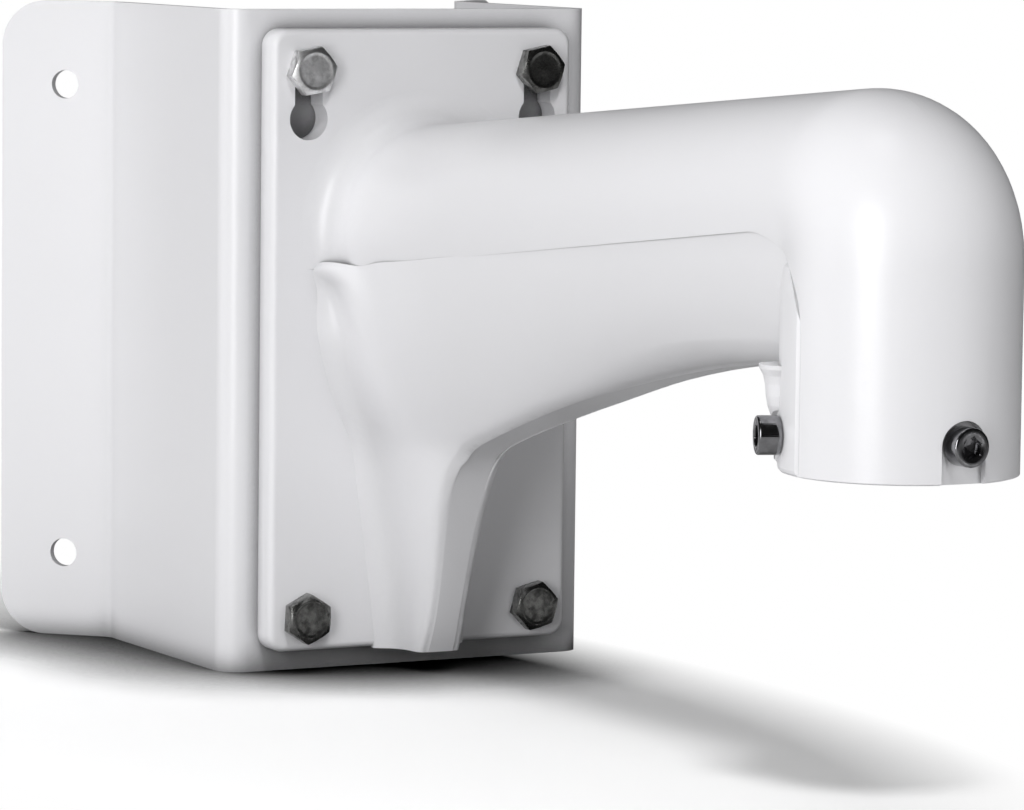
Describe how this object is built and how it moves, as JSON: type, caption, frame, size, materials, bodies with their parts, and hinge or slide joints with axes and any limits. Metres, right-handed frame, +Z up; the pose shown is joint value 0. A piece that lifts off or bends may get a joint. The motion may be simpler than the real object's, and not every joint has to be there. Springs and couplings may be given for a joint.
{
  "type": "camera wall bracket",
  "caption": "Cast arm with a vertical cable socket, bolted to a folded steel adapter that lies on both walls of a building's outside corner and carries a camera.",
  "frame": {"origin": "on the vertical edge of the building corner that the adapter straddles, level with the middle of the adapter's height", "axes": "+X points away from the corner along the arm, +Z up, +Y to the right of someone who looks at the adapter's front face"},
  "size_m": [0.4163, 0.1704, 0.194],
  "materials": {
    "adapter_paint": "light grey powder coat, satin",
    "arm_paint": "near-white powder coat on cast aluminium, satin",
    "bolt_steel": "bright stainless steel",
    "washer_steel": "plain stainless steel",
    "screw_steel": "dark oiled steel"
  },
  "bodies": {
    "root": {"corner_adapter": "adapter_paint", "bracket_arm": "arm_paint", "hex_bolt_top_left": "bolt_steel", "hex_bolt_top_right": "bolt_steel", "hex_bolt_bottom_right": "bolt_steel", "hex_bolt_bottom_left": "bolt_steel", "flat_washer_top_left": "washer_steel", "flat_washer_top_right": "washer_steel", "flat_washer_bottom_right": "washer_steel", "flat_washer_bottom_left": "washer_steel", "spring_washer_top_left": "washer_steel", "spring_washer_top_right": "washer_steel", "spring_washer_bottom_right": "washer_steel", "spring_washer_bottom_left": "washer_steel", "hex_nut_top_left": "bolt_steel", "hex_nut_top_right": "bolt_steel", "hex_nut_bottom_right": "bolt_steel", "hex_nut_bottom_left": "bolt_steel", "cap_screw_front": "screw_steel", "cap_screw_right": "screw_steel", "cap_screw_left": "screw_steel"}
  },
  "joints": []
}
